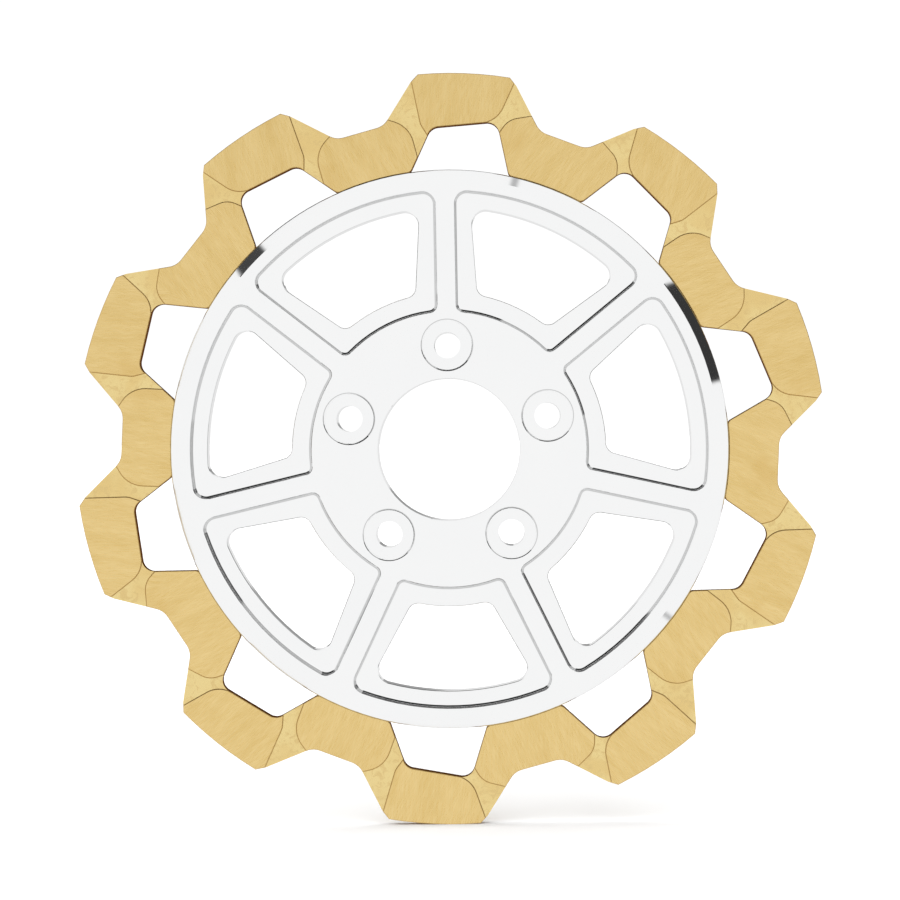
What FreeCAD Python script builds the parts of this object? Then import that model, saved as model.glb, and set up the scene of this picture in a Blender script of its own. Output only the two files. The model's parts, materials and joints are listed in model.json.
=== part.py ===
"""Two-piece floating brake disc rotor for a motorcycle.

A seven-spoke carrier bolts to the wheel hub. A friction ring with ten teeth floats behind the
carrier's rim on ten bobbins, which turn on shoulder screws and are held without rattle by wave
washers. The disc stands upright: its axle lies along Y, the visible face looks towards -Y, +Z is
up, and the origin is on the axle in the plane of the hub's mounting face.

Every disc-shaped body is drawn flat, with its front along its own +Z, and its Placement stands it up.
Heights are measured forwards from the hub's mounting face.
"""
import FreeCAD, Part
import math
import os

import Sketcher
from FreeCAD import Placement, Rotation, Vector

TOOTH_PAIRS = 5
LOBES = 2 * TOOTH_PAIRS
SPOKES = 7
HUB_BOLTS = 5

# name, size in millimetres or degrees, what it is
DIMENSIONS = [
    ("hub_thickness", 16.0, "carrier, mounting face to front face"),
    ("bore_radius", 28.2, "centre bore that sits on the wheel hub"),
    ("hub_pad_radius", 50.0, "raised mounting face on the back"),
    ("hub_pad_height", 1.5, "mounting face above the spokes' backs"),
    ("rim_radius", 111.0, "carrier's outer radius"),
    ("rim_back", 7.0, "height of the rim's back face"),
    ("rim_step_radius", 93.0, "where the spokes' backs step up to the rim's back"),
    ("rim_chamfer", 4.1, "45 degree chamfer on the rim's front edge"),
    ("rim_round", 1.5, "fillet where the chamfer meets the rim's side"),
    ("pocket_depth", 2.0, "pockets below the front face"),
    ("pocket_outer_radius", 102.4, "outer arc of the pockets"),
    ("pocket_inner_radius", 54.5, "inner arc of the pockets"),
    ("pocket_outer_corner", 5.0, "corner radius at the pockets' outer arc"),
    ("pocket_inner_corner", 3.2, "corner radius at the pockets' inner arc"),
    ("pocket_floor_fillet", 1.3, "fillet between pocket wall and floor"),
    ("spoke_width", 7.4, "raised rib between two pockets"),
    ("window_outer_radius", 95.8, "outer arc of the windows"),
    ("window_inner_radius", 62.2, "inner arc of the windows"),
    ("window_outer_half", 32.2, "half width of a window at its outer arc"),
    ("window_inner_half", 15.4, "half width of a window at its inner arc"),
    ("window_outer_corner", 5.5, "corner radius at the windows' outer arc"),
    ("window_inner_corner", 4.3, "corner radius at the windows' inner arc"),
    ("bolt_circle_radius", 41.275, "hub bolts, 82.55 mm bolt circle"),
    ("bolt_hole_radius", 5.2, "clearance for a 9.5 mm bolt"),
    ("counterbore_radius", 9.8, "seat of a hub bolt's head"),
    ("counterbore_depth", 3.0, "seat below the front face"),
    ("counterbore_edge_break", 0.4, "chamfer round a counterbore's mouth"),
    ("edge_break", 0.2, "small chamfer on the carrier's other edges"),
    ("ring_radius", 150.0, "outer radius of the friction ring"),
    ("ring_inner_radius", 111.5, "inner ends of the lobes, clear of the rim"),
    ("ring_thickness", 5.0, "friction ring"),
    ("ring_turn", -3.2, "first tooth from the vertical, anticlockwise"),
    ("rest_gap", 0.1, "friction ring's front to the rim's back"),
    ("tip_angle", 7.04, "tooth axis to the end of the tooth's outer arc"),
    ("bevel_x", 21.1, "bottom of the bevel at a tooth's tip, across"),
    ("bevel_y", 145.7, "bottom of the bevel at a tooth's tip, outwards"),
    ("root_x", 31.2, "foot of a tooth's flank, across"),
    ("root_y", 127.8, "foot of a tooth's flank, outwards"),
    ("root_fillet", 7.5, "fillet at the foot of a tooth's flank"),
    ("window_low_x", 12.3, "top corner nearer the axle, across"),
    ("window_low_y", 128.0, "top corner nearer the axle, outwards"),
    ("window_high_x", 13.9, "top corner further out, across"),
    ("window_high_y", 131.3, "top corner further out, outwards"),
    ("window_low_slant", 22.1, "side below the inner corner, from the tooth axis"),
    ("window_high_slant", 14.5, "side below the outer corner, from the tooth axis"),
    ("window_corner", 5.0, "corner radius at a ring window's top"),
    ("lobe_corner", 2.4, "corner radius at a lobe's inner end"),
    ("recess_depth", 0.4, "milled recess between two ground pads"),
    ("recess_draft", 45.0, "slope of a recess's walls, from upright"),
    ("ring_edge_break", 0.25, "small chamfer on the friction ring's edges"),
    ("tab_inner_radius", 97.0, "inner end of a tab under the rim"),
    ("tab_half_width", 11.4, "half width of a tab"),
    ("tab_step", 0.4, "tab's front behind the ring's front"),
    ("tab_thickness", 2.6, "tab"),
    ("tab_corner", 5.0, "corner radius at a tab's inner end"),
    ("drive_circle_radius", 104.0, "bobbins and screws"),
    ("tab_hole_radius", 5.3, "hole in a tab for its bobbin"),
    ("bobbin_radius", 5.2, "sleeve that drives the tab"),
    ("bobbin_bore_radius", 3.55, "runs on the screw's shoulder"),
    ("flange_radius", 6.6, "bobbin's flange"),
    ("flange_thickness", 0.8, "bobbin's flange"),
    ("end_play", 0.05, "bobbin to the screw's head and to the rim"),
    ("washer_inner_radius", 5.35, "wave and thrust washers"),
    ("thrust_thickness", 0.4, "flat washer behind the tab"),
    ("wave_thickness", 0.3, "spring steel of a wave washer"),
    ("wave_rise", 0.5, "crest above trough on a wave washer"),
    ("wave_margin", 0.05, "wave washer's edges inside the thrust washer's"),
    ("shoulder_radius", 3.5, "ground shoulder of the screw"),
    ("thread_radius", 2.95, "screw's M6 thread"),
    ("thread_length", 5.5, "thread beyond the shoulder"),
    ("tapped_radius", 3.0, "blind tapped hole in the rim"),
    ("tapped_depth", 6.0, "blind tapped hole in the rim"),
    ("head_radius", 5.5, "screw's low head"),
    ("head_thickness", 1.6, "screw's low head"),
    ("head_chamfer", 0.4, "on the screw's head and the thread's end"),
    ("socket_radius", 2.31, "corners of the 4 mm hexagon socket"),
    ("socket_depth", 2.2, "hexagon socket"),
]

doc = FreeCAD.newDocument("brake_disc_rotor")
sheet = doc.addObject("Spreadsheet::Sheet", "Dims")
for row, (alias, size, meaning) in enumerate(DIMENSIONS, start=1):
    sheet.set(f"A{row}", meaning)
    sheet.set(f"B{row}", str(size))
    sheet.setAlias(f"B{row}", alias)
doc.recompute()

# Heights that several pieces share, as expressions of the sheet's cells
RING_FRONT = "(Dims.rim_back - Dims.rest_gap)"
RING_MIDDLE = f"({RING_FRONT} - Dims.ring_thickness / 2)"
TAB_BACK = f"({RING_FRONT} - Dims.tab_step - Dims.tab_thickness)"
THRUST_BACK = f"({TAB_BACK} - Dims.thrust_thickness)"
WAVE_BACK = f"({THRUST_BACK} - Dims.end_play - Dims.wave_rise - Dims.wave_thickness)"
FLANGE_BACK = f"({WAVE_BACK} - Dims.end_play - Dims.flange_thickness)"
HEAD_BACK = f"({FLANGE_BACK} - Dims.end_play - Dims.head_thickness)"

STAND_UP = Rotation(Vector(1, 0, 0), 90)

# How far, in millimetres, a cutting or joining outline runs past the surface that it meets
RUN_OUT = 5

# Two lengths nearer than this, in millimetres, are the same place
CLOSE = 0.01


def amount(expression):
    """The value of an expression of the sheet's cells, as a plain number."""
    result = sheet.evalExpression(expression)
    return float(getattr(result, "Value", result))


def new_body(name):
    body = doc.addObject("PartDesign::Body", name)
    body.Label = name
    return body


def origin_feature(body, role):
    return next(item for item in body.Origin.OriginFeatures if item.Role == role)


def new_sketch(body, name, height=None, turn=0, plane="XY_Plane"):
    """A sketch on an origin plane of the body, turned in degrees and raised to a bound height."""
    sketch = body.newObject("Sketcher::SketchObject", name)
    sketch.AttachmentSupport = (origin_feature(body, plane), [""])
    sketch.MapMode = "FlatFace"
    sketch.AttachmentOffset = Placement(Vector(0, 0, 0), Rotation(Vector(0, 0, 1), turn))
    if height is not None:
        sketch.setExpression("AttachmentOffset.Base.z", height)
    return sketch


def bind(sketch, geometry, point, direction, expression):
    """Fix how far a point lies from the sketch's origin along X or Y."""
    value = amount(expression)
    if abs(value) < 1e-9:
        axis = -2 if direction == "X" else -1
        sketch.addConstraint(Sketcher.Constraint("PointOnObject", geometry, point, axis))
        return
    ends = (-1, 1, geometry, point) if value > 0 else (geometry, point, -1, 1)
    number = sketch.addConstraint(Sketcher.Constraint(f"Distance{direction}", *ends, abs(value)))
    name = f"{direction.lower()}_{geometry}_{point}"
    sketch.renameConstraint(number, name)
    sketch.setExpression(f"Constraints.{name}", f"abs({expression})")


def draw_polygon(sketch, corners):
    """Draw a closed polygon. Each corner is a pair of expressions, across and outwards."""
    points = [Vector(amount(x), amount(y), 0) for x, y in corners]
    first = sketch.GeometryCount
    count = len(points)
    for i in range(count):
        sketch.addGeometry(Part.LineSegment(points[i], points[(i + 1) % count]), False)
    for i in range(count):
        following = first + (i + 1) % count
        sketch.addConstraint(Sketcher.Constraint("Coincident", first + i, 2, following, 1))
    for i, (x, y) in enumerate(corners):
        bind(sketch, first + i, 1, "X", x)
        bind(sketch, first + i, 1, "Y", y)


def draw_circle(sketch, radius, x="0", y="0"):
    """Draw a circle of a bound radius at a bound centre."""
    centre = Vector(amount(x), amount(y), 0)
    circle = Part.Circle(centre, Vector(0, 0, 1), amount(radius))
    geometry = sketch.addGeometry(circle, False)
    if centre.Length < 1e-9:
        sketch.addConstraint(Sketcher.Constraint("Coincident", geometry, 3, -1, 1))
    else:
        bind(sketch, geometry, 3, "X", x)
        bind(sketch, geometry, 3, "Y", y)
    number = sketch.addConstraint(Sketcher.Constraint("Radius", geometry, amount(radius)))
    sketch.renameConstraint(number, f"radius_{geometry}")
    sketch.setExpression(f"Constraints.radius_{geometry}", radius)


def draw_arc_about_origin(sketch, radius, x, side):
    """Draw an arc about the origin from -x to x, above it (side 1) or below it (side -1)."""
    half = math.asin(amount(x) / amount(radius))
    middle = side * math.pi / 2
    circle = Part.Circle(Vector(0, 0, 0), Vector(0, 0, 1), amount(radius))
    arc = Part.ArcOfCircle(circle, middle - half, middle + half)
    geometry = sketch.addGeometry(arc, False)
    sketch.addConstraint(Sketcher.Constraint("Coincident", geometry, 3, -1, 1))
    number = sketch.addConstraint(Sketcher.Constraint("Radius", geometry, amount(radius)))
    sketch.renameConstraint(number, f"radius_{geometry}")
    sketch.setExpression(f"Constraints.radius_{geometry}", radius)
    bind(sketch, geometry, 1, "X", f"{side} * {x}")
    bind(sketch, geometry, 2, "X", f"{-side} * {x}")
    return geometry


def add_feature(body, kind, name, sketch, length, backwards=False, symmetric=False):
    """A Pad or Pocket of a bound length. A Pad grows forwards and a Pocket cuts backwards."""
    feature = body.newObject(f"PartDesign::{kind}", name)
    feature.Profile = (sketch, [""])
    if symmetric:
        feature.SideType = "Symmetric"
    feature.Reversed = backwards
    feature.setExpression("Length", length)
    doc.recompute()
    body.Tip = feature
    return feature


def cut_through(body, name, sketch):
    """A Pocket right through the body, both ways from its sketch."""
    feature = body.newObject("PartDesign::Pocket", name)
    feature.Profile = (sketch, [""])
    feature.SideType = "Symmetric"
    feature.setExpression("Length", "4 * Dims.hub_thickness")
    doc.recompute()
    body.Tip = feature
    return feature


def repeat(body, name, features, count):
    """Repeat features evenly all the way round the disc's axis."""
    pattern = body.newObject("PartDesign::PolarPattern", name)
    pattern.Originals = features
    pattern.Axis = (origin_feature(body, "Z_Axis"), [""])
    pattern.Angle = 360
    pattern.Occurrences = count
    doc.recompute()
    body.Tip = pattern
    return pattern


def dress_up(body, kind, name, base, edges, size):
    """A Fillet or Chamfer of a bound size on the edges of the feature before it."""
    feature = body.newObject(f"PartDesign::{kind}", name)
    feature.Base = (base, edges)
    feature.setExpression("Radius" if kind == "Fillet" else "Size", size)
    doc.recompute()
    body.Tip = feature
    return feature


def revolve(body, name, corners):
    """A solid of revolution about the body's Z from (radius, height) corners."""
    sketch = new_sketch(body, f"{name}_profile", plane="XZ_Plane")
    draw_polygon(sketch, corners)
    feature = body.newObject("PartDesign::Revolution", name)
    feature.Profile = (sketch, [""])
    feature.ReferenceAxis = (sketch, ["V_Axis"])
    feature.Angle = 360
    doc.recompute()
    body.Tip = feature
    return feature


def edges_where(feature, wanted):
    """The names of a feature's edges that pass a test."""
    return [f"Edge{i}" for i, edge in enumerate(feature.Shape.Edges, start=1) if wanted(edge)]


def is_upright(edge):
    """Whether an edge is a straight line along the disc's axis."""
    ends = [vertex.Point for vertex in edge.Vertexes]
    if len(ends) != 2:
        return False
    step = ends[1] - ends[0]
    return abs(step.x) < 1e-6 and abs(step.y) < 1e-6


def corner_edges(feature, corners, count):
    """Upright edges at the given corners or at their copies round the axis."""
    pitch = 360 / count
    places = [(math.hypot(x, y), math.degrees(math.atan2(y, x))) for x, y in corners]

    def wanted(edge):
        if not is_upright(edge):
            return False
        point = edge.Vertexes[0].Point
        radius = math.hypot(point.x, point.y)
        angle = math.degrees(math.atan2(point.y, point.x))
        for place_radius, place_angle in places:
            turn = (angle - place_angle + pitch / 2) % pitch - pitch / 2
            if abs(radius - place_radius) < 2 * CLOSE and abs(turn) < 2 * CLOSE:
                return True
        return False

    return edges_where(feature, wanted)


def lies_at(edge, height):
    """Whether a whole edge lies in the plane at a height."""
    box = edge.BoundBox
    return abs(box.ZMin - height) < CLOSE and abs(box.ZMax - height) < CLOSE


def largest_radius(edge):
    return max(math.hypot(vertex.X, vertex.Y) for vertex in edge.Vertexes)


def drive_angle(number):
    """Where a lobe, its bobbin and its screw lie, anticlockwise from +X, as an expression."""
    return f"(90 - 180 / {LOBES} + Dims.ring_turn + {number} * 360 / {LOBES}) * 1deg"


def stand_at_lobe(piece, number):
    """Stand a small piece up on the drive circle, in line with a lobe."""
    angle = amount(f"{drive_angle(number)} / 1deg")
    piece.Placement = Placement(Vector(0, 0, 0), STAND_UP.multiply(Rotation(Vector(0, 0, 1), angle)))
    piece.setExpression("Placement.Base.x", f"Dims.drive_circle_radius * cos({drive_angle(number)})")
    piece.setExpression("Placement.Base.z", f"Dims.drive_circle_radius * sin({drive_angle(number)})")


def make_carrier():
    """The hub, seven spokes and rim, machined from one plate."""
    body = new_body("carrier")
    blank = revolve(body, "turned_blank", [
        ("Dims.bore_radius", "0"),
        ("Dims.hub_pad_radius", "0"),
        ("Dims.hub_pad_radius + Dims.hub_pad_height", "Dims.hub_pad_height"),
        ("Dims.rim_radius", "Dims.hub_pad_height"),
        ("Dims.rim_radius", "Dims.hub_thickness - Dims.rim_chamfer"),
        ("Dims.rim_radius - Dims.rim_chamfer", "Dims.hub_thickness"),
        ("Dims.pocket_outer_radius", "Dims.hub_thickness"),
        ("Dims.pocket_outer_radius", "Dims.hub_thickness - Dims.pocket_depth"),
        ("Dims.pocket_inner_radius", "Dims.hub_thickness - Dims.pocket_depth"),
        ("Dims.pocket_inner_radius", "Dims.hub_thickness"),
        ("Dims.bore_radius", "Dims.hub_thickness"),
    ])

    rib_sketch = new_sketch(body, "rib_outline", "Dims.hub_thickness - Dims.pocket_depth")
    rib_start = f"Dims.pocket_inner_radius - {RUN_OUT}"
    rib_end = f"Dims.pocket_outer_radius + {RUN_OUT}"
    draw_polygon(rib_sketch, [
        ("-Dims.spoke_width / 2", rib_start),
        ("Dims.spoke_width / 2", rib_start),
        ("Dims.spoke_width / 2", rib_end),
        ("-Dims.spoke_width / 2", rib_end),
    ])
    rib = add_feature(body, "Pad", "rib", rib_sketch, "Dims.pocket_depth")
    ribs = repeat(body, "ribs", [rib], SPOKES)

    half = amount("Dims.spoke_width / 2")
    outer = amount("Dims.pocket_outer_radius")
    inner = amount("Dims.pocket_inner_radius")
    outer_corners = [(side * half, math.sqrt(outer ** 2 - half ** 2)) for side in (-1, 1)]
    inner_corners = [(side * half, math.sqrt(inner ** 2 - half ** 2)) for side in (-1, 1)]
    rounded = dress_up(body, "Fillet", "pocket_outer_corners", ribs,
                       corner_edges(ribs, outer_corners, SPOKES), "Dims.pocket_outer_corner")
    rounded = dress_up(body, "Fillet", "pocket_inner_corners", rounded,
                       corner_edges(rounded, inner_corners, SPOKES), "Dims.pocket_inner_corner")
    floor = amount("Dims.hub_thickness - Dims.pocket_depth")
    dress_up(body, "Fillet", "pocket_floor_fillets", rounded,
             edges_where(rounded, lambda edge: lies_at(edge, floor)), "Dims.pocket_floor_fillet")

    window_sketch = new_sketch(body, "window_outline", "0")
    outer_arc = draw_arc_about_origin(window_sketch, "Dims.window_outer_radius",
                                      "Dims.window_outer_half", -1)
    inner_arc = draw_arc_about_origin(window_sketch, "Dims.window_inner_radius",
                                      "Dims.window_inner_half", -1)
    for start, end in ((1, 1), (2, 2)):
        side = window_sketch.addGeometry(Part.LineSegment(
            window_sketch.getPoint(outer_arc, start), window_sketch.getPoint(inner_arc, end)), False)
        window_sketch.addConstraint(Sketcher.Constraint("Coincident", side, 1, outer_arc, start))
        window_sketch.addConstraint(Sketcher.Constraint("Coincident", side, 2, inner_arc, end))
    window = cut_through(body, "window", window_sketch)
    windows = repeat(body, "windows", [window], SPOKES)

    def window_corners(radius, half_width):
        return [(side * half_width, -math.sqrt(radius ** 2 - half_width ** 2)) for side in (-1, 1)]

    far = window_corners(amount("Dims.window_outer_radius"), amount("Dims.window_outer_half"))
    near = window_corners(amount("Dims.window_inner_radius"), amount("Dims.window_inner_half"))
    rounded = dress_up(body, "Fillet", "window_outer_corners", windows,
                       corner_edges(windows, far, SPOKES), "Dims.window_outer_corner")
    rounded = dress_up(body, "Fillet", "window_inner_corners", rounded,
                       corner_edges(rounded, near, SPOKES), "Dims.window_inner_corner")

    # The ring's tabs lie behind the rim, in a step cut from the back
    step_sketch = new_sketch(body, "rim_step_outline", "0")
    draw_circle(step_sketch, "Dims.rim_step_radius")
    draw_circle(step_sketch, f"Dims.rim_radius + {RUN_OUT}")
    add_feature(body, "Pocket", "rim_step", step_sketch, "Dims.rim_back", backwards=True)

    hole_sketch = new_sketch(body, "bolt_hole_outline", "0")
    draw_circle(hole_sketch, "Dims.bolt_hole_radius", y="Dims.bolt_circle_radius")
    hole = cut_through(body, "bolt_hole", hole_sketch)
    seat_sketch = new_sketch(body, "counterbore_outline", "Dims.hub_thickness")
    draw_circle(seat_sketch, "Dims.counterbore_radius", y="Dims.bolt_circle_radius")
    seat = add_feature(body, "Pocket", "counterbore", seat_sketch, "Dims.counterbore_depth")
    holes = repeat(body, "bolt_holes", [hole, seat], HUB_BOLTS)

    tapped_sketch = new_sketch(body, "tapped_hole_outline", "Dims.rim_back")
    draw_circle(tapped_sketch, "Dims.tapped_radius",
                f"Dims.drive_circle_radius * cos({drive_angle(0)})",
                f"Dims.drive_circle_radius * sin({drive_angle(0)})")
    tapped = add_feature(body, "Pocket", "tapped_hole", tapped_sketch, "Dims.tapped_depth", backwards=True)
    tapped_holes = repeat(body, "tapped_holes", [tapped], LOBES)

    front = amount("Dims.hub_thickness")
    rim = amount("Dims.rim_radius")
    chamfer_start = amount("Dims.rim_radius - Dims.rim_chamfer")
    chamfer_end = amount("Dims.hub_thickness - Dims.rim_chamfer")
    rim_back = amount("Dims.rim_back")
    spoke_back = amount("Dims.hub_pad_height")
    pad = amount("Dims.hub_pad_radius")
    foot_of_pad = amount("Dims.hub_pad_radius + Dims.hub_pad_height")
    window_inner = amount("Dims.window_inner_radius")
    window_outer = amount("Dims.window_outer_radius")
    seat_radius = amount("Dims.counterbore_radius")

    def is_seat_mouth(edge):
        return lies_at(edge, front) and abs(getattr(edge.Curve, "Radius", 0) - seat_radius) < CLOSE

    def is_sharp(edge):
        radius = largest_radius(edge)
        if lies_at(edge, front):
            return radius < chamfer_start - CLOSE and not is_seat_mouth(edge)
        if lies_at(edge, floor):
            return window_inner - CLOSE < radius < window_outer + CLOSE
        if lies_at(edge, spoke_back):
            return radius > foot_of_pad + CLOSE
        if lies_at(edge, rim_back):
            return abs(radius - rim) < CLOSE
        return lies_at(edge, 0) and radius < pad - CLOSE

    def is_rim_edge(edge):
        return lies_at(edge, chamfer_end) and abs(largest_radius(edge) - rim) < CLOSE

    current = dress_up(body, "Fillet", "rim_fillet", tapped_holes,
                       edges_where(tapped_holes, is_rim_edge), "Dims.rim_round")
    current = dress_up(body, "Chamfer", "counterbore_mouths", current,
                       edges_where(current, is_seat_mouth), "Dims.counterbore_edge_break")
    dress_up(body, "Chamfer", "broken_edges", current, edges_where(current, is_sharp), "Dims.edge_break")
    body.Placement = Placement(Vector(0, 0, 0), STAND_UP)
    return body


def window_polygon(mirror):
    """The space under a tooth, open towards the axle. The tooth's axis is the sketch's Y."""
    bottom = f"(Dims.ring_inner_radius - {RUN_OUT})"
    low_run = f"(Dims.window_low_y - {bottom}) * tan(Dims.window_low_slant * 1deg)"
    high_run = f"(Dims.window_high_y - {bottom}) * tan(Dims.window_high_slant * 1deg)"
    return [
        (f"{-mirror} * (Dims.window_low_x + {low_run})", bottom),
        (f"{-mirror} * Dims.window_low_x", "Dims.window_low_y"),
        (f"{mirror} * Dims.window_high_x", "Dims.window_high_y"),
        (f"{mirror} * (Dims.window_high_x + {high_run})", bottom),
    ]


# Recesses beside a tooth whose ring window is lower on its left. A tuple holds a corner's place,
# across and outwards, and the radius that rounds it. Corners with no radius lie in open space.
LEFT_RECESS = [
    (-22.0, 151.5, 0), (-16.4, 129.2, 6.0), (-12.0, 122.8, 0), (-14.5, 112.0, 0),
    (-15.9, 111.1, 0), (-21.2, 127.9, 10.9), (-34.5, 131.3, 0), (-36.0, 145.0, 0),
]
RIGHT_RECESS = [
    (21.9, 151.4, 0), (36.0, 145.0, 0), (34.3, 134.9, 0), (18.6, 131.9, 8.0),
    (14.2, 125.2, 0), (5.0, 127.0, 0), (6.9, 129.9, 0), (14.3, 132.9, 10.0),
]


def draw_recess(sketch, corners, mirror):
    """Draw a recess as straight lines joined by tangent arcs."""
    places = [Vector(mirror * x, y, 0) for x, y, _ in corners]
    count = len(places)
    pieces = []
    entry_points = []
    exit_points = []
    for i, (_, _, radius) in enumerate(corners):
        corner = places[i]
        before = (places[i - 1] - corner).normalize()
        after = (places[(i + 1) % count] - corner).normalize()
        reach = radius / math.tan(before.getAngle(after) / 2)
        entry_points.append(corner + before * reach)
        exit_points.append(corner + after * reach)
        if radius:
            towards_centre = (before + after).normalize()
            centre = corner + towards_centre * math.hypot(radius, reach)
            pieces.append(Part.Arc(entry_points[i], centre - towards_centre * radius, exit_points[i]))
    for i in range(count):
        pieces.append(Part.LineSegment(exit_points[i], entry_points[(i + 1) % count]))
    first = sketch.GeometryCount
    sketch.addGeometry(pieces, False)
    for i in range(len(pieces)):
        sketch.addConstraint(Sketcher.Constraint("Block", first + i))


def turned(corners, degrees):
    """Corners turned anticlockwise about the disc's axis."""
    turn = Rotation(Vector(0, 0, 1), degrees)
    places = [turn.multVec(Vector(x, y, 0)) for x, y in corners]
    return [(place.x, place.y) for place in places]


def make_friction_ring():
    """The floating ring: ten teeth outside, ten lobes inside, and a tab on each lobe.

    It is drawn with a tooth upright and the middle of its thickness at zero height.
    """
    body = new_body("friction_ring")
    sketch = new_sketch(body, "ring_outline")
    draw_circle(sketch, "Dims.ring_radius")
    draw_circle(sketch, "Dims.ring_inner_radius")
    add_feature(body, "Pad", "ring_blank", sketch, "Dims.ring_thickness", symmetric=True)

    # The gap between two teeth is drawn about the lobe's axis, half a tooth's pitch from the tooth
    half_pitch = 180 / LOBES

    def from_tooth(x, y):
        across = f"({y}) * sin({half_pitch} * 1deg) - ({x}) * cos({half_pitch} * 1deg)"
        outwards = f"({y}) * cos({half_pitch} * 1deg) + ({x}) * sin({half_pitch} * 1deg)"
        return across, outwards

    foot = from_tooth("Dims.root_x", "Dims.root_y")
    bevel = from_tooth("Dims.bevel_x", "Dims.bevel_y")
    tip = from_tooth("Dims.ring_radius * sin(Dims.tip_angle * 1deg)",
                     "Dims.ring_radius * cos(Dims.tip_angle * 1deg)")
    # The bevel's line runs on past the tooth's tip, out of the blank
    outside = (f"3 * ({tip[0]}) - 2 * ({bevel[0]})", f"3 * ({tip[1]}) - 2 * ({bevel[1]})")
    right_side = [foot, bevel, outside]
    left_side = [(f"-({x})", y) for x, y in reversed(right_side)]
    gap_sketch = new_sketch(body, "gap_outline", turn=half_pitch)
    draw_polygon(gap_sketch, right_side + left_side)
    gap = cut_through(body, "gap", gap_sketch)
    gaps = repeat(body, "gaps", [gap], LOBES)
    roots = turned([(side * amount(foot[0]), amount(foot[1])) for side in (-1, 1)], half_pitch)
    current = dress_up(body, "Fillet", "gap_fillets", gaps,
                       corner_edges(gaps, roots, LOBES), "Dims.root_fillet")

    # Every second tooth is the mirror image of its neighbours
    for name, mirror, turn in (("even_window", 1, 0), ("odd_window", -1, 2 * half_pitch)):
        window_sketch = new_sketch(body, f"{name}_outline", turn=turn)
        draw_polygon(window_sketch, window_polygon(mirror))
        window = cut_through(body, name, window_sketch)
        current = repeat(body, f"{name}s", [window], TOOTH_PAIRS)
    low = amount("Dims.window_low_x"), amount("Dims.window_low_y")
    high = amount("Dims.window_high_x"), amount("Dims.window_high_y")
    tops = [(-low[0], low[1]), high]
    tops += turned([low, (-high[0], high[1])], 2 * half_pitch)
    current = dress_up(body, "Fillet", "window_fillets", current,
                       corner_edges(current, tops, TOOTH_PAIRS), "Dims.window_corner")
    inner = amount("Dims.ring_inner_radius")
    current = dress_up(body, "Fillet", "lobe_fillets", current, edges_where(
        current, lambda edge: is_upright(edge) and abs(largest_radius(edge) - inner) < CLOSE),
        "Dims.lobe_corner")
    half = amount("Dims.ring_thickness / 2")
    current = dress_up(body, "Chamfer", "broken_edges", current, edges_where(
        current, lambda edge: lies_at(edge, half) or lies_at(edge, -half)), "Dims.ring_edge_break")

    # Both faces have the same recesses, back to back
    recesses = []
    for name, mirror, turn in (("even", 1, 0), ("odd", -1, 2 * half_pitch)):
        for side, corners in (("left", LEFT_RECESS), ("right", RIGHT_RECESS)):
            for face, sign in (("front", ""), ("back", "-")):
                recess_sketch = new_sketch(body, f"{name}_{side}_{face}_recess_outline",
                                           f"{sign}Dims.ring_thickness / 2", turn=turn)
                draw_recess(recess_sketch, corners, mirror)
                recess = add_feature(body, "Pocket", f"{name}_{side}_{face}_recess", recess_sketch,
                                     "Dims.recess_depth", backwards=face == "back")
                recess.setExpression("TaperAngle", "-Dims.recess_draft")
                recesses.append(recess)
    repeat(body, "recesses", recesses, TOOTH_PAIRS)

    tab_sketch = new_sketch(body, "tab_outline", "Dims.ring_thickness / 2 - Dims.tab_step", turn=half_pitch)
    shoulder = f"(Dims.ring_inner_radius + {RUN_OUT})"
    draw_polygon(tab_sketch, [
        ("-Dims.tab_half_width", "Dims.tab_inner_radius"),
        ("Dims.tab_half_width", "Dims.tab_inner_radius"),
        ("Dims.tab_half_width", shoulder),
        ("-Dims.tab_half_width", shoulder),
    ])
    tab = add_feature(body, "Pad", "tab", tab_sketch, "Dims.tab_thickness", backwards=True)
    tabs = repeat(body, "tabs", [tab], LOBES)
    ends = turned([(side * amount("Dims.tab_half_width"), amount("Dims.tab_inner_radius"))
                   for side in (-1, 1)], half_pitch)
    dress_up(body, "Fillet", "tab_fillets", tabs, corner_edges(tabs, ends, LOBES), "Dims.tab_corner")
    hole_sketch = new_sketch(body, "tab_hole_outline", turn=half_pitch)
    draw_circle(hole_sketch, "Dims.tab_hole_radius", y="Dims.drive_circle_radius")
    hole = cut_through(body, "tab_hole", hole_sketch)
    repeat(body, "tab_holes", [hole], LOBES)

    turn = Rotation(Vector(0, 0, 1), amount("Dims.ring_turn"))
    body.Placement = Placement(Vector(0, 0, 0), STAND_UP.multiply(turn))
    body.setExpression("Placement.Base.y", f"-{RING_MIDDLE}")
    return body


def make_bobbin(number):
    """A flanged sleeve that turns on a screw's shoulder and drives one tab of the ring."""
    body = new_body(f"drive_bobbin_{number + 1:02d}")
    front = "(Dims.rim_back - Dims.end_play)"
    revolve(body, "sleeve_and_flange", [
        ("Dims.bobbin_bore_radius", FLANGE_BACK),
        ("Dims.flange_radius", FLANGE_BACK),
        ("Dims.flange_radius", f"{FLANGE_BACK} + Dims.flange_thickness"),
        ("Dims.bobbin_radius", f"{FLANGE_BACK} + Dims.flange_thickness"),
        ("Dims.bobbin_radius", f"{front} - Dims.edge_break"),
        ("Dims.bobbin_radius - Dims.edge_break", front),
        ("Dims.bobbin_bore_radius", front),
    ])
    stand_at_lobe(body, number)
    return body


def make_thrust_washer(number):
    """A flat washer that spreads the wave washer's push over the back of a tab."""
    body = new_body(f"thrust_washer_{number + 1:02d}")
    sketch = new_sketch(body, "washer_outline", THRUST_BACK)
    draw_circle(sketch, "Dims.flange_radius")
    draw_circle(sketch, "Dims.washer_inner_radius")
    add_feature(body, "Pad", "washer", sketch, "Dims.thrust_thickness")
    stand_at_lobe(body, number)
    return body


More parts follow.
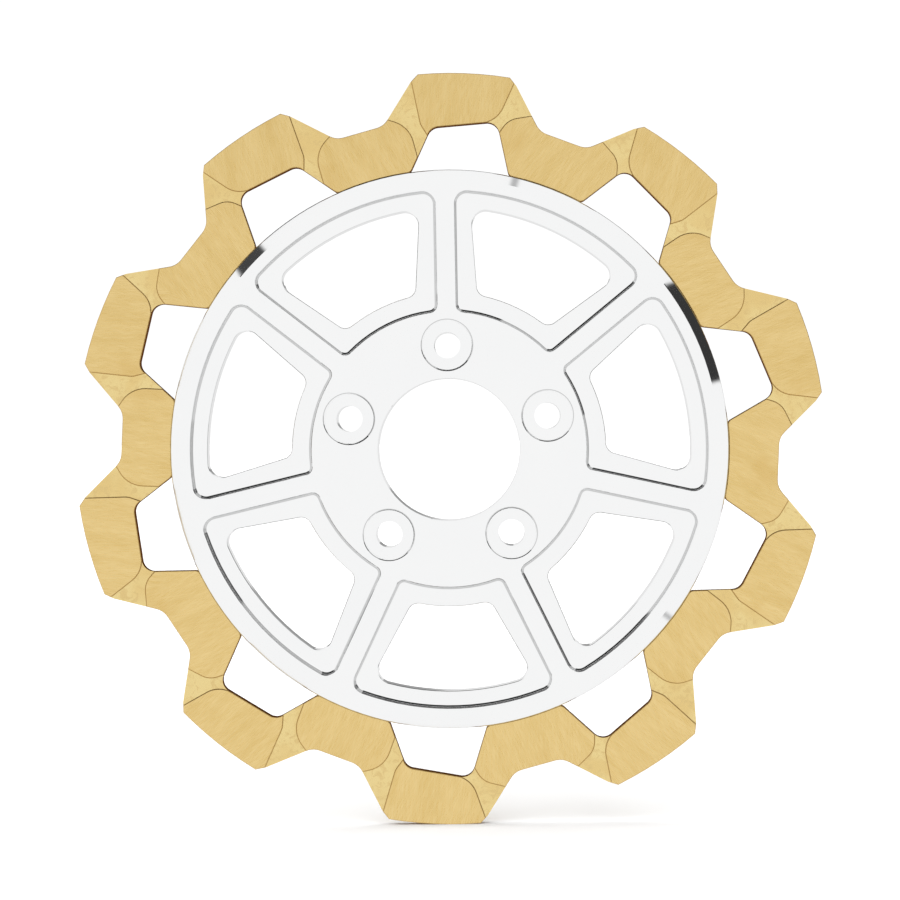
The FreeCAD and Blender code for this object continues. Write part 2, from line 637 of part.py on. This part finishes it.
def make_wave_washer(number):
    """A washer of thin spring steel with three waves, which pushes the ring forwards."""
    waves = 3
    samples_per_wave = 8
    samples = waves * samples_per_wave
    middle = amount(f"{WAVE_BACK} + (Dims.wave_rise + Dims.wave_thickness) / 2")
    rise = amount("Dims.wave_rise")
    thickness = amount("Dims.wave_thickness")

    def edge(radius, offset):
        points = []
        for i in range(samples):
            turn = 2 * math.pi * i / samples
            height = middle + offset + rise / 2 * math.cos(waves * turn)
            points.append(Vector(radius * math.cos(turn), radius * math.sin(turn), height))
        curve = Part.BSplineCurve()
        curve.interpolate(Points=points, PeriodicFlag=True)
        return curve.toShape()

    inner = amount("Dims.washer_inner_radius + Dims.wave_margin")
    outer = amount("Dims.flange_radius - 2 * Dims.wave_margin")
    back_inner, back_outer = edge(inner, -thickness / 2), edge(outer, -thickness / 2)
    front_inner, front_outer = edge(inner, thickness / 2), edge(outer, thickness / 2)
    faces = [
        Part.makeRuledSurface(back_inner, back_outer),
        Part.makeRuledSurface(front_inner, front_outer),
        Part.makeRuledSurface(back_inner, front_inner),
        Part.makeRuledSurface(back_outer, front_outer),
    ]
    shell = Part.makeShell(faces)
    shell.sewShape()
    solid = Part.makeSolid(shell)
    if solid.Volume < 0:
        solid.reverse()
    washer = doc.addObject("Part::Feature", f"wave_washer_{number + 1:02d}")
    washer.Label = washer.Name
    washer.Shape = solid
    stand_at_lobe(washer, number)
    return washer


def make_shoulder_screw(number):
    """A low-headed shoulder screw, driven into the rim from behind."""
    body = new_body(f"shoulder_screw_{number + 1:02d}")
    head_front = f"({HEAD_BACK} + Dims.head_thickness)"
    tip = "(Dims.rim_back + Dims.thread_length)"
    revolve(body, "turned_screw", [
        ("0", HEAD_BACK),
        ("Dims.head_radius - Dims.head_chamfer", HEAD_BACK),
        ("Dims.head_radius", f"{HEAD_BACK} + Dims.head_chamfer"),
        ("Dims.head_radius", head_front),
        ("Dims.shoulder_radius", head_front),
        ("Dims.shoulder_radius", "Dims.rim_back"),
        ("Dims.thread_radius", "Dims.rim_back"),
        ("Dims.thread_radius", f"{tip} - Dims.head_chamfer"),
        ("Dims.thread_radius - Dims.head_chamfer", tip),
        ("0", tip),
    ])
    socket_sketch = new_sketch(body, "socket_outline", HEAD_BACK)
    draw_polygon(socket_sketch, [
        (f"Dims.socket_radius * cos({60 * i + 30} * 1deg)", f"Dims.socket_radius * sin({60 * i + 30} * 1deg)")
        for i in range(6)
    ])
    add_feature(body, "Pocket", "socket", socket_sketch, "Dims.socket_depth", backwards=True)
    stand_at_lobe(body, number)
    return body


def make_all():
    pieces = [make_carrier(), make_friction_ring()]
    for number in range(LOBES):
        pieces.append(make_bobbin(number))
        pieces.append(make_thrust_washer(number))
        pieces.append(make_wave_washer(number))
        pieces.append(make_shoulder_screw(number))
    doc.recompute()
    return pieces


def check(pieces):
    """Stop if any object failed to build or any piece isn't one valid solid."""
    for item in doc.Objects:
        if "Invalid" in item.State or "Error" in item.State:
            raise RuntimeError(f"{item.Name} failed: {item.State}")
    for piece in pieces:
        shape = piece.Shape
        if shape.isNull() or not shape.isValid() or len(shape.Solids) != 1:
            raise RuntimeError(f"{piece.Label} isn't one valid solid")


def export(pieces):
    os.makedirs("parts", exist_ok=True)
    for piece in pieces:
        piece.Shape.exportStep(f"parts/{piece.Label}.step")
        print(f"{piece.Label:20s} {piece.Shape.Volume:12.2f} mm3")


pieces = make_all()
check(pieces)
export(pieces)
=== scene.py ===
"""The looks of a two-piece floating brake disc rotor.

A mirror-bright billet carrier stands in front of a gold friction ring with ground pads and milled
recesses. Bobbins, washers and shoulder screws show from behind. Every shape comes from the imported
model; this script adds the materials, the studio and the camera.
"""

import json
import math

import bpy
from mathutils import Matrix, Vector


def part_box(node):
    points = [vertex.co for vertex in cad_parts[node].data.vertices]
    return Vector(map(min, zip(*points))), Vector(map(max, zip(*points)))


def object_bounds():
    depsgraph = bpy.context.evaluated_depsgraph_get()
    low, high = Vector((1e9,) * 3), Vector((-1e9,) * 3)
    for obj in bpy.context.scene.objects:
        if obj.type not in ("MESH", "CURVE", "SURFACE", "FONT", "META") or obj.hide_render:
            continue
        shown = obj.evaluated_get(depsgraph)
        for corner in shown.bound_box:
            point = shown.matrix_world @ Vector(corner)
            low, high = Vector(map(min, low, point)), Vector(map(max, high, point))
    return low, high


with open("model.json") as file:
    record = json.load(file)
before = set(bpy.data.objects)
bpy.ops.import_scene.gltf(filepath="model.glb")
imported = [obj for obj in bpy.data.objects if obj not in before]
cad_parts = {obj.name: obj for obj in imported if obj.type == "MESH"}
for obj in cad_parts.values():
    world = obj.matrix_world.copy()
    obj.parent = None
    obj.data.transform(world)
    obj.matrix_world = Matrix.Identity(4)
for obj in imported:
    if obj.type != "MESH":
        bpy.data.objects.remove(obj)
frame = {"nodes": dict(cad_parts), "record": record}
cad_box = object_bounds()

MM = 0.001
WHITE = (1, 1, 1, 1)

# Camera: degrees round the object from straight in front, and above the horizon
CAMERA_AZIMUTH = 1.2
CAMERA_ELEVATION = 0.55
CAMERA_ROLL = 0.98
CAMERA_DISTANCE = 0.9
CAMERA_LENS_MM = 89.5
CAMERA_SENSOR_MM = 36.0
AIM = Vector((0.14 * MM, 0, -0.39 * MM))

# Layout of the friction ring: degrees are anticlockwise from +X as seen from the front
FIRST_TOOTH = 86.8
PADS = 20
LOBES = 10
DRIVE_RADIUS = 104 * MM

# Bright plating of the carrier
PLATE_SHADE = (0.925, 0.93, 0.935, 1)
PLATE_LIGHT = (0.95, 0.952, 0.95, 1)
PLATE_ROUGHNESS = 0.015
WIPE_ROUGHNESS = 0.03
PLATE_WALL_ROUGHNESS = 0.09

# Gold tones of the friction ring
PAD_LIGHT = (0.92, 0.70, 0.325, 1)
PAD_DARK = (0.76, 0.535, 0.195, 1)
PAD_BROWN = (0.73, 0.48, 0.155, 1)
RECESS_LIGHT = (0.86, 0.68, 0.31, 1)
RECESS_WARM = (0.81, 0.60, 0.25, 1)
RECESS_STAIN = (0.76, 0.56, 0.24, 1)
# Painted shade and reflection: darker gold on the recess edges' slopes, dark brown on the walls,
# and a dark tint on the walls' edge-on reflection
SLOPE_PAINTED_SHADE = (0.74, 0.50, 0.19, 1)
WALL_PAINTED_SHADE = (0.25, 0.12, 0.02, 1)
WALL_SHADE_TINT = (0.25, 0.15, 0.06, 1)

# Roughness of the gold: its least, and what strokes, ground pads and slopes add
GOLD_ROUGHNESS = 0.15
STROKE_ROUGHNESS = 0.1
PAD_ROUGHNESS = 0.08
SLOPE_ROUGHNESS = 0.3

# How deep below the ring's faces the pads' tone ends and where it is full
PAD_TONE_ENDS = 0.12 * MM
PAD_TONE_FULL = 0.04 * MM

# Limits on how squarely a surface faces along the axle: 0 on a wall, 1 on a flat face
WALL_TO_SLOPE = (0.15, 0.6)
SLOPE_TO_FLAT = (0.75, 0.95)
SLOPE_TO_PAD = (0.8, 0.97)
SLOPE_TO_SMOOTH = (0.8, 0.95)

# Turned steels: light tone, dark tone, least roughness and spacing of the lathe's circles
TURNED_STEELS = {
    "bobbin_steel": ((0.62, 0.63, 0.64, 1), (0.5, 0.51, 0.53, 1), 0.2, 0.12 * MM),
    "screw_steel": ((0.12, 0.12, 0.125, 1), (0.07, 0.07, 0.075, 1), 0.3, 0.1 * MM),
    "washer_steel": ((0.68, 0.66, 0.62, 1), (0.55, 0.53, 0.5, 1), 0.18, 0.15 * MM),
}

# Light from the studio's walls by direction, from straight in front to straight behind. The first
# number of each pair is the direction's distance along the axle, from -1 to 1.
WALL_LIGHT = [
    (-0.84, 0.97), (-0.78, 0.62), (-0.13, 0.62), (-0.07, 0.97), (0.35, 0.97), (0.8, 0.8),
]
BACKDROP_LIGHT = 1.05

# Dark flags: where each starts and ends round the axle in degrees, where it starts and ends from
# front to back, and how dark it is
FLAGS = [
    (68, 141, -0.92, -0.1, 0.97),
    (13, 36, -0.9, -0.1, 0.88),
    (36, 68, -0.8, -0.12, 0.3),
    (-8, 13, -0.8, -0.12, 0.3),
    (13, 36, 0.0, 0.72, 0.96),
    (97, 133, 0.25, 0.8, 0.94),
    (133, 140, 0.0, 0.8, 0.94),
    (36, 97, 0.6, 1.1, 0.6),
    (75.5, 77, -0.1, 0.4, 0.5),
    (-40, -39, -0.1, 0.3, 0.5),
]
FLAG_EDGE_DEGREES = 0.6
FLAG_EDGE_DEPTH = 0.02

# Sun: how wide it is and how far it leans, both in degrees
SUN_ENERGY = 3.5
SUN_WIDTH = 110
SUN_LEAN = (25, -20)

FLOOR_SIZE = 60.0
FLOOR_COLOUR = (0.93, 0.93, 0.93, 1)
FLOOR_ROUGHNESS = 0.9


class Graph:
    """Short calls that add nodes to a node tree and join their sockets."""

    def __init__(self, tree):
        self.tree = tree
        tree.nodes.clear()

    def set_input(self, socket, value):
        if isinstance(value, bpy.types.NodeSocket):
            self.tree.links.new(value, socket)
        else:
            socket.default_value = value

    def node(self, kind, settings=None, **inputs):
        """A new node. Underscores in an input's name stand for spaces."""
        made = self.tree.nodes.new(kind)
        for name, value in (settings or {}).items():
            setattr(made, name, value)
        for name, value in inputs.items():
            self.set_input(made.inputs[name.replace("_", " ")], value)
        return made

    def math(self, operation, *values):
        made = self.node("ShaderNodeMath", {"operation": operation})
        for socket, value in zip(made.inputs, values):
            self.set_input(socket, value)
        return made.outputs[0]

    def vector(self, x, y, z):
        return self.node("ShaderNodeCombineXYZ", X=x, Y=y, Z=z).outputs[0]

    def separate(self, vector):
        return self.node("ShaderNodeSeparateXYZ", Vector=vector).outputs

    def length(self, vector):
        made = self.node("ShaderNodeVectorMath", {"operation": "LENGTH"}, Vector=vector)
        return made.outputs["Value"]

    def ramp(self, value, low, high, to_low=0.0, to_high=1.0):
        """to_low below low, to_high above high, and a smooth step between them."""
        made = self.node("ShaderNodeMapRange", {"interpolation_type": "SMOOTHSTEP"})
        for socket, number in zip(made.inputs, (value, low, high, to_low, to_high)):
            self.set_input(socket, number)
        return made.outputs[0]

    def between(self, value, low, high, edge):
        """1 where value lies between low and high, with soft edges, and 0 elsewhere."""
        rise = self.ramp(value, low - edge, low + edge)
        fall = self.ramp(value, high - edge, high + edge, 1.0, 0.0)
        return self.math("MULTIPLY", rise, fall)

    def blend(self, factor, first, second):
        """A colour between first and second."""
        made = self.node("ShaderNodeMix", {"data_type": "RGBA"})
        sockets = (made.inputs[0], made.inputs[6], made.inputs[7])
        for socket, value in zip(sockets, (factor, first, second)):
            self.set_input(socket, value)
        return made.outputs[2]

    def noise(self, place, scale=1.0, detail=2.0, roughness=0.5, distortion=0.0):
        return self.node("ShaderNodeTexNoise", Vector=place, Scale=scale, Detail=detail,
                         Roughness=roughness, Distortion=distortion).outputs["Fac"]

    def bump(self, height, strength, distance):
        made = self.node("ShaderNodeBump", Height=height, Strength=strength, Distance=distance)
        return made.outputs[0]


def start_material(name):
    """A new material's graph, its Principled shader, and the sockets of its place on the object."""
    material = bpy.data.materials.new(name)
    material.use_nodes = True
    graph = Graph(material.node_tree)
    shader = graph.node("ShaderNodeBsdfPrincipled")
    output = graph.node("ShaderNodeOutputMaterial")
    material.node_tree.links.new(shader.outputs[0], output.inputs[0])
    shader.inputs["Metallic"].default_value = 1.0
    coordinates = graph.node("ShaderNodeTexCoord")
    place = coordinates.outputs["Object"]
    normal = coordinates.outputs["Normal"]
    return material, graph, shader, place, normal


def polar(graph, place):
    """Radius and angle in radians round the axle, and depth along it."""
    x, y, z = graph.separate(place)
    radius = graph.length(graph.vector(x, 0.0, z))
    angle = graph.math("ARCTAN2", z, x)
    return radius, angle, y


def facing(graph, normal):
    """How squarely a surface faces along the axle, to front or back."""
    return graph.math("ABSOLUTE", graph.separate(normal)[1])


def make_polished_aluminium():
    """Mirror-bright plated billet: a faint polishing haze on the faces and softer walls."""
    material, graph, shader, place, normal = start_material("polished_aluminium")
    radius, angle, _ = polar(graph, place)
    haze = graph.noise(place, scale=35.0, detail=3.0)
    round_hub = graph.vector(graph.math("MULTIPLY", radius, 900.0),
                             graph.math("MULTIPLY", angle, 3.0), 0.0)
    wipe = graph.noise(round_hub, detail=3.0)
    wall = graph.ramp(facing(graph, normal), low=0.05, high=0.98, to_low=1.0, to_high=0.0)
    shine = graph.math("MULTIPLY_ADD", wipe, WIPE_ROUGHNESS, PLATE_ROUGHNESS)
    rough = graph.math("MULTIPLY_ADD", wall, PLATE_WALL_ROUGHNESS, shine)
    graph.set_input(shader.inputs["Base Color"], graph.blend(haze, PLATE_SHADE, PLATE_LIGHT))
    graph.set_input(shader.inputs["Roughness"], rough)
    graph.set_input(shader.inputs["Normal"],
                    graph.bump(wipe, strength=0.02, distance=0.02 * MM))
    return material


def make_gold_steel():
    """Gold stainless steel: ground pads with a radial grain, milled recesses and painted shade on
    walls.
    """
    material, graph, shader, place, normal = start_material("gold_steel")
    radius, angle, depth = polar(graph, place)
    face = facing(graph, normal)
    low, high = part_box("friction_ring")
    middle = (low.y + high.y) / 2
    half = (high.y - low.y) / 2
    off_middle = graph.math("ABSOLUTE", graph.math("SUBTRACT", depth, middle))
    raised = graph.ramp(off_middle, half - PAD_TONE_ENDS, half - PAD_TONE_FULL)
    pad = graph.math("MULTIPLY", raised, graph.ramp(face, *SLOPE_TO_PAD))

    # Each pad has its own grain, turned a little from the radius
    turn = graph.math("MULTIPLY_ADD", angle, PADS / (2 * math.pi), -FIRST_TOOTH * PADS / 360)
    nearest = graph.math("ROUND", turn)
    number = graph.math("FLOORED_MODULO", nearest, float(PADS))
    offset = graph.math("MULTIPLY", graph.math("SUBTRACT", turn, nearest), 2 * math.pi / PADS)
    across = graph.math("MULTIPLY", offset, radius)
    chance = graph.node("ShaderNodeTexWhiteNoise", {"noise_dimensions": "1D"}, W=number)
    skew = graph.math("MULTIPLY_ADD", chance.outputs["Value"], 0.8, -0.45)

    def grain(extra_skew, spacing, length, seed):
        lean = graph.math("MULTIPLY", graph.math("ADD", skew, extra_skew), radius)
        side = graph.math("ADD", across, lean)
        layer = graph.math("MULTIPLY_ADD", number, 7.0, seed)
        at = graph.vector(graph.math("DIVIDE", side, spacing),
                          graph.math("DIVIDE", radius, length), layer)
        return graph.noise(at, detail=3.0, roughness=0.65)

    fine = grain(extra_skew=0.0, spacing=0.45 * MM, length=7 * MM, seed=0.0)
    crossing = grain(extra_skew=0.4, spacing=0.55 * MM, length=9 * MM, seed=40.0)
    broad = grain(extra_skew=0.1, spacing=6 * MM, length=40 * MM, seed=80.0)
    strokes = graph.math("MULTIPLY_ADD", crossing, 0.4, graph.math("MULTIPLY", fine, 0.6))
    warmth = graph.math("MULTIPLY_ADD", broad, 0.3, graph.math("MULTIPLY", strokes, 0.7))
    clouds = graph.noise(place, scale=45.0, detail=3.0)
    smudge = graph.ramp(clouds, low=0.58, high=0.75, to_high=0.35)
    pad_colour = graph.blend(graph.ramp(warmth, low=0.3, high=0.7), PAD_DARK, PAD_LIGHT)
    pad_colour = graph.blend(smudge, pad_colour, PAD_BROWN)

    mottle = graph.noise(place, scale=70.0, detail=2.0, distortion=0.6)
    spots = graph.noise(place, scale=300.0, detail=3.0, distortion=1.5)
    stain = graph.ramp(spots, low=0.48, high=0.68, to_high=0.85)
    warm = graph.ramp(mottle, low=0.35, high=0.7)
    recess_colour = graph.blend(warm, RECESS_LIGHT, RECESS_WARM)
    recess_colour = graph.blend(stain, recess_colour, RECESS_STAIN)

    # Painted shade: the slopes are coloured a darker gold and the walls a dark brown
    sloping = graph.ramp(face, *WALL_TO_SLOPE)
    painted_shade_slope = graph.blend(sloping, WALL_PAINTED_SHADE, SLOPE_PAINTED_SHADE)
    level = graph.blend(pad, recess_colour, pad_colour)
    graph.set_input(shader.inputs["Base Color"],
                    graph.blend(graph.ramp(face, *SLOPE_TO_FLAT), painted_shade_slope, level))
    # Painted shade: a dark tint keeps the metal's edge-on walls from reflecting white
    graph.set_input(shader.inputs["Specular Tint"],
                    graph.blend(sloping, WALL_SHADE_TINT, WHITE))

    rough = graph.math("MULTIPLY_ADD", strokes, STROKE_ROUGHNESS, GOLD_ROUGHNESS)
    rough = graph.math("MULTIPLY_ADD", pad, PAD_ROUGHNESS, rough)
    on_slope = graph.ramp(face, *SLOPE_TO_SMOOTH, to_low=SLOPE_ROUGHNESS, to_high=0.0)
    graph.set_input(shader.inputs["Roughness"], graph.math("ADD", rough, on_slope))

    ripple = graph.noise(place, scale=500.0, detail=1.0)
    height = graph.math("MULTIPLY_ADD", ripple, 0.1, graph.math("MULTIPLY", strokes, pad))
    graph.set_input(shader.inputs["Normal"],
                    graph.bump(height, strength=0.5, distance=0.05 * MM))
    return material


def make_turned_steel(name, light, dark, roughness, spacing):
    """Round steel parts, turned on a lathe: fine circles about each part's own axis."""
    material, graph, shader, place, _ = start_material(name)
    radius, angle, depth = polar(graph, place)
    pitch = 2 * math.pi / LOBES
    first_lobe = math.radians(FIRST_TOOTH) - pitch / 2
    turn = graph.math("DIVIDE", graph.math("SUBTRACT", angle, first_lobe), pitch)
    past_nearest = graph.math("SUBTRACT", turn, graph.math("ROUND", turn))
    offset = graph.math("MULTIPLY", past_nearest, pitch)
    along = graph.math("MULTIPLY", radius, graph.math("COSINE", offset))
    outwards = graph.math("SUBTRACT", along, DRIVE_RADIUS)
    across = graph.math("MULTIPLY", radius, graph.math("SINE", offset))
    own_radius = graph.length(graph.vector(outwards, 0.0, across))
    lathe = graph.vector(graph.math("DIVIDE", own_radius, spacing), 0.0,
                         graph.math("DIVIDE", depth, spacing))
    circles = graph.noise(lathe, detail=2.0)
    cloud = graph.noise(place, scale=400.0, detail=3.0)
    tone = graph.math("MULTIPLY_ADD", circles, 0.6, graph.math("MULTIPLY", cloud, 0.4))
    graph.set_input(shader.inputs["Base Color"],
                    graph.blend(graph.ramp(tone, low=0.3, high=0.7), dark, light))
    graph.set_input(shader.inputs["Roughness"],
                    graph.math("MULTIPLY_ADD", tone, 0.15, roughness))
    graph.set_input(shader.inputs["Normal"],
                    graph.bump(circles, strength=0.3, distance=0.02 * MM))
    return material


def paint():
    """Give every piece the material of its slot in the record."""
    materials = {
        "polished_aluminium": make_polished_aluminium(),
        "gold_steel": make_gold_steel(),
    }
    for name, look in TURNED_STEELS.items():
        materials[name] = make_turned_steel(name, *look)
    for part in frame["record"]["subparts"]:
        slots = frame["nodes"][part["node"]].data.materials
        slots.clear()
        slots.append(materials[part["material_slot"]])


def make_world():
    """A white backdrop for the camera; other rays see grey walls with dark flags on them."""
    world = bpy.data.worlds.new("studio")
    bpy.context.scene.world = world
    world.use_nodes = True
    graph = Graph(world.node_tree)
    direction = graph.node("ShaderNodeTexCoord").outputs["Generated"]
    x, y, z = graph.separate(direction)
    degrees = graph.math("MULTIPLY", graph.math("ARCTAN2", z, x), 180 / math.pi)
    light = WALL_LIGHT[0][1]
    for (start, before), (end, after) in zip(WALL_LIGHT, WALL_LIGHT[1:]):
        light = graph.math("ADD", light, graph.ramp(y, start, end, 0.0, after - before))
    for start, end, front, back, darkness in FLAGS:
        round_axle = graph.between(degrees, start, end, FLAG_EDGE_DEGREES)
        along_axle = graph.between(y, front, back, FLAG_EDGE_DEPTH)
        flag = graph.math("MULTIPLY", round_axle, along_axle)
        light = graph.math("MULTIPLY", light, graph.math("MULTIPLY_ADD", flag, -darkness, 1.0))
    seen = graph.node("ShaderNodeLightPath").outputs["Is Camera Ray"]
    backdrop = graph.math("MULTIPLY", seen, BACKDROP_LIGHT)
    walls = graph.math("MULTIPLY", graph.math("SUBTRACT", 1.0, seen), light)
    strength = graph.math("ADD", backdrop, walls)
    background = graph.node("ShaderNodeBackground", Color=WHITE, Strength=strength)
    graph.node("ShaderNodeOutputWorld", Surface=background.outputs[0])


def make_sun():
    """A wide, soft sun from above, a little to the left and front. No metal reflects it."""
    sun = bpy.data.objects.new("soft_sun", bpy.data.lights.new("soft_sun", "SUN"))
    sun.data.energy = SUN_ENERGY
    sun.data.angle = math.radians(SUN_WIDTH)
    sun.rotation_euler = (math.radians(SUN_LEAN[0]), math.radians(SUN_LEAN[1]), 0)
    sun.visible_glossy = False
    bpy.context.scene.collection.objects.link(sun)


def make_floor():
    """A pale floor under the disc's lowest tooth. No metal reflects it."""
    half = FLOOR_SIZE / 2
    level = cad_box[0].z
    mesh = bpy.data.meshes.new("floor")
    corners = [(-half, -half, level), (half, -half, level),
               (half, half, level), (-half, half, level)]
    mesh.from_pydata(corners, [], [(0, 1, 2, 3)])
    floor = bpy.data.objects.new("floor", mesh)
    bpy.context.scene.collection.objects.link(floor)
    material = bpy.data.materials.new("pale_floor")
    material.use_nodes = True
    shader = material.node_tree.nodes["Principled BSDF"]
    shader.inputs["Base Color"].default_value = FLOOR_COLOUR
    shader.inputs["Roughness"].default_value = FLOOR_ROUGHNESS
    shader.inputs["Specular IOR Level"].default_value = 0.0
    mesh.materials.append(material)
    floor.visible_glossy = False


def make_camera():
    camera = bpy.data.objects.new("camera", bpy.data.cameras.new("camera"))
    camera.data.sensor_width = CAMERA_SENSOR_MM
    camera.data.lens = CAMERA_LENS_MM
    azimuth = math.radians(CAMERA_AZIMUTH)
    elevation = math.radians(CAMERA_ELEVATION)
    back = Vector((math.sin(azimuth) * math.cos(elevation),
                   -math.cos(azimuth) * math.cos(elevation),
                   math.sin(elevation)))
    look = (-back).to_track_quat("-Z", "Y").to_matrix().to_4x4()
    roll = Matrix.Rotation(math.radians(-CAMERA_ROLL), 4, "Z")
    camera.matrix_world = Matrix.Translation(AIM + back * CAMERA_DISTANCE) @ look @ roll
    bpy.context.scene.collection.objects.link(camera)
    bpy.context.scene.camera = camera


paint()
make_world()
make_sun()
make_floor()
make_camera()
bpy.context.scene.view_settings.view_transform = "Standard"
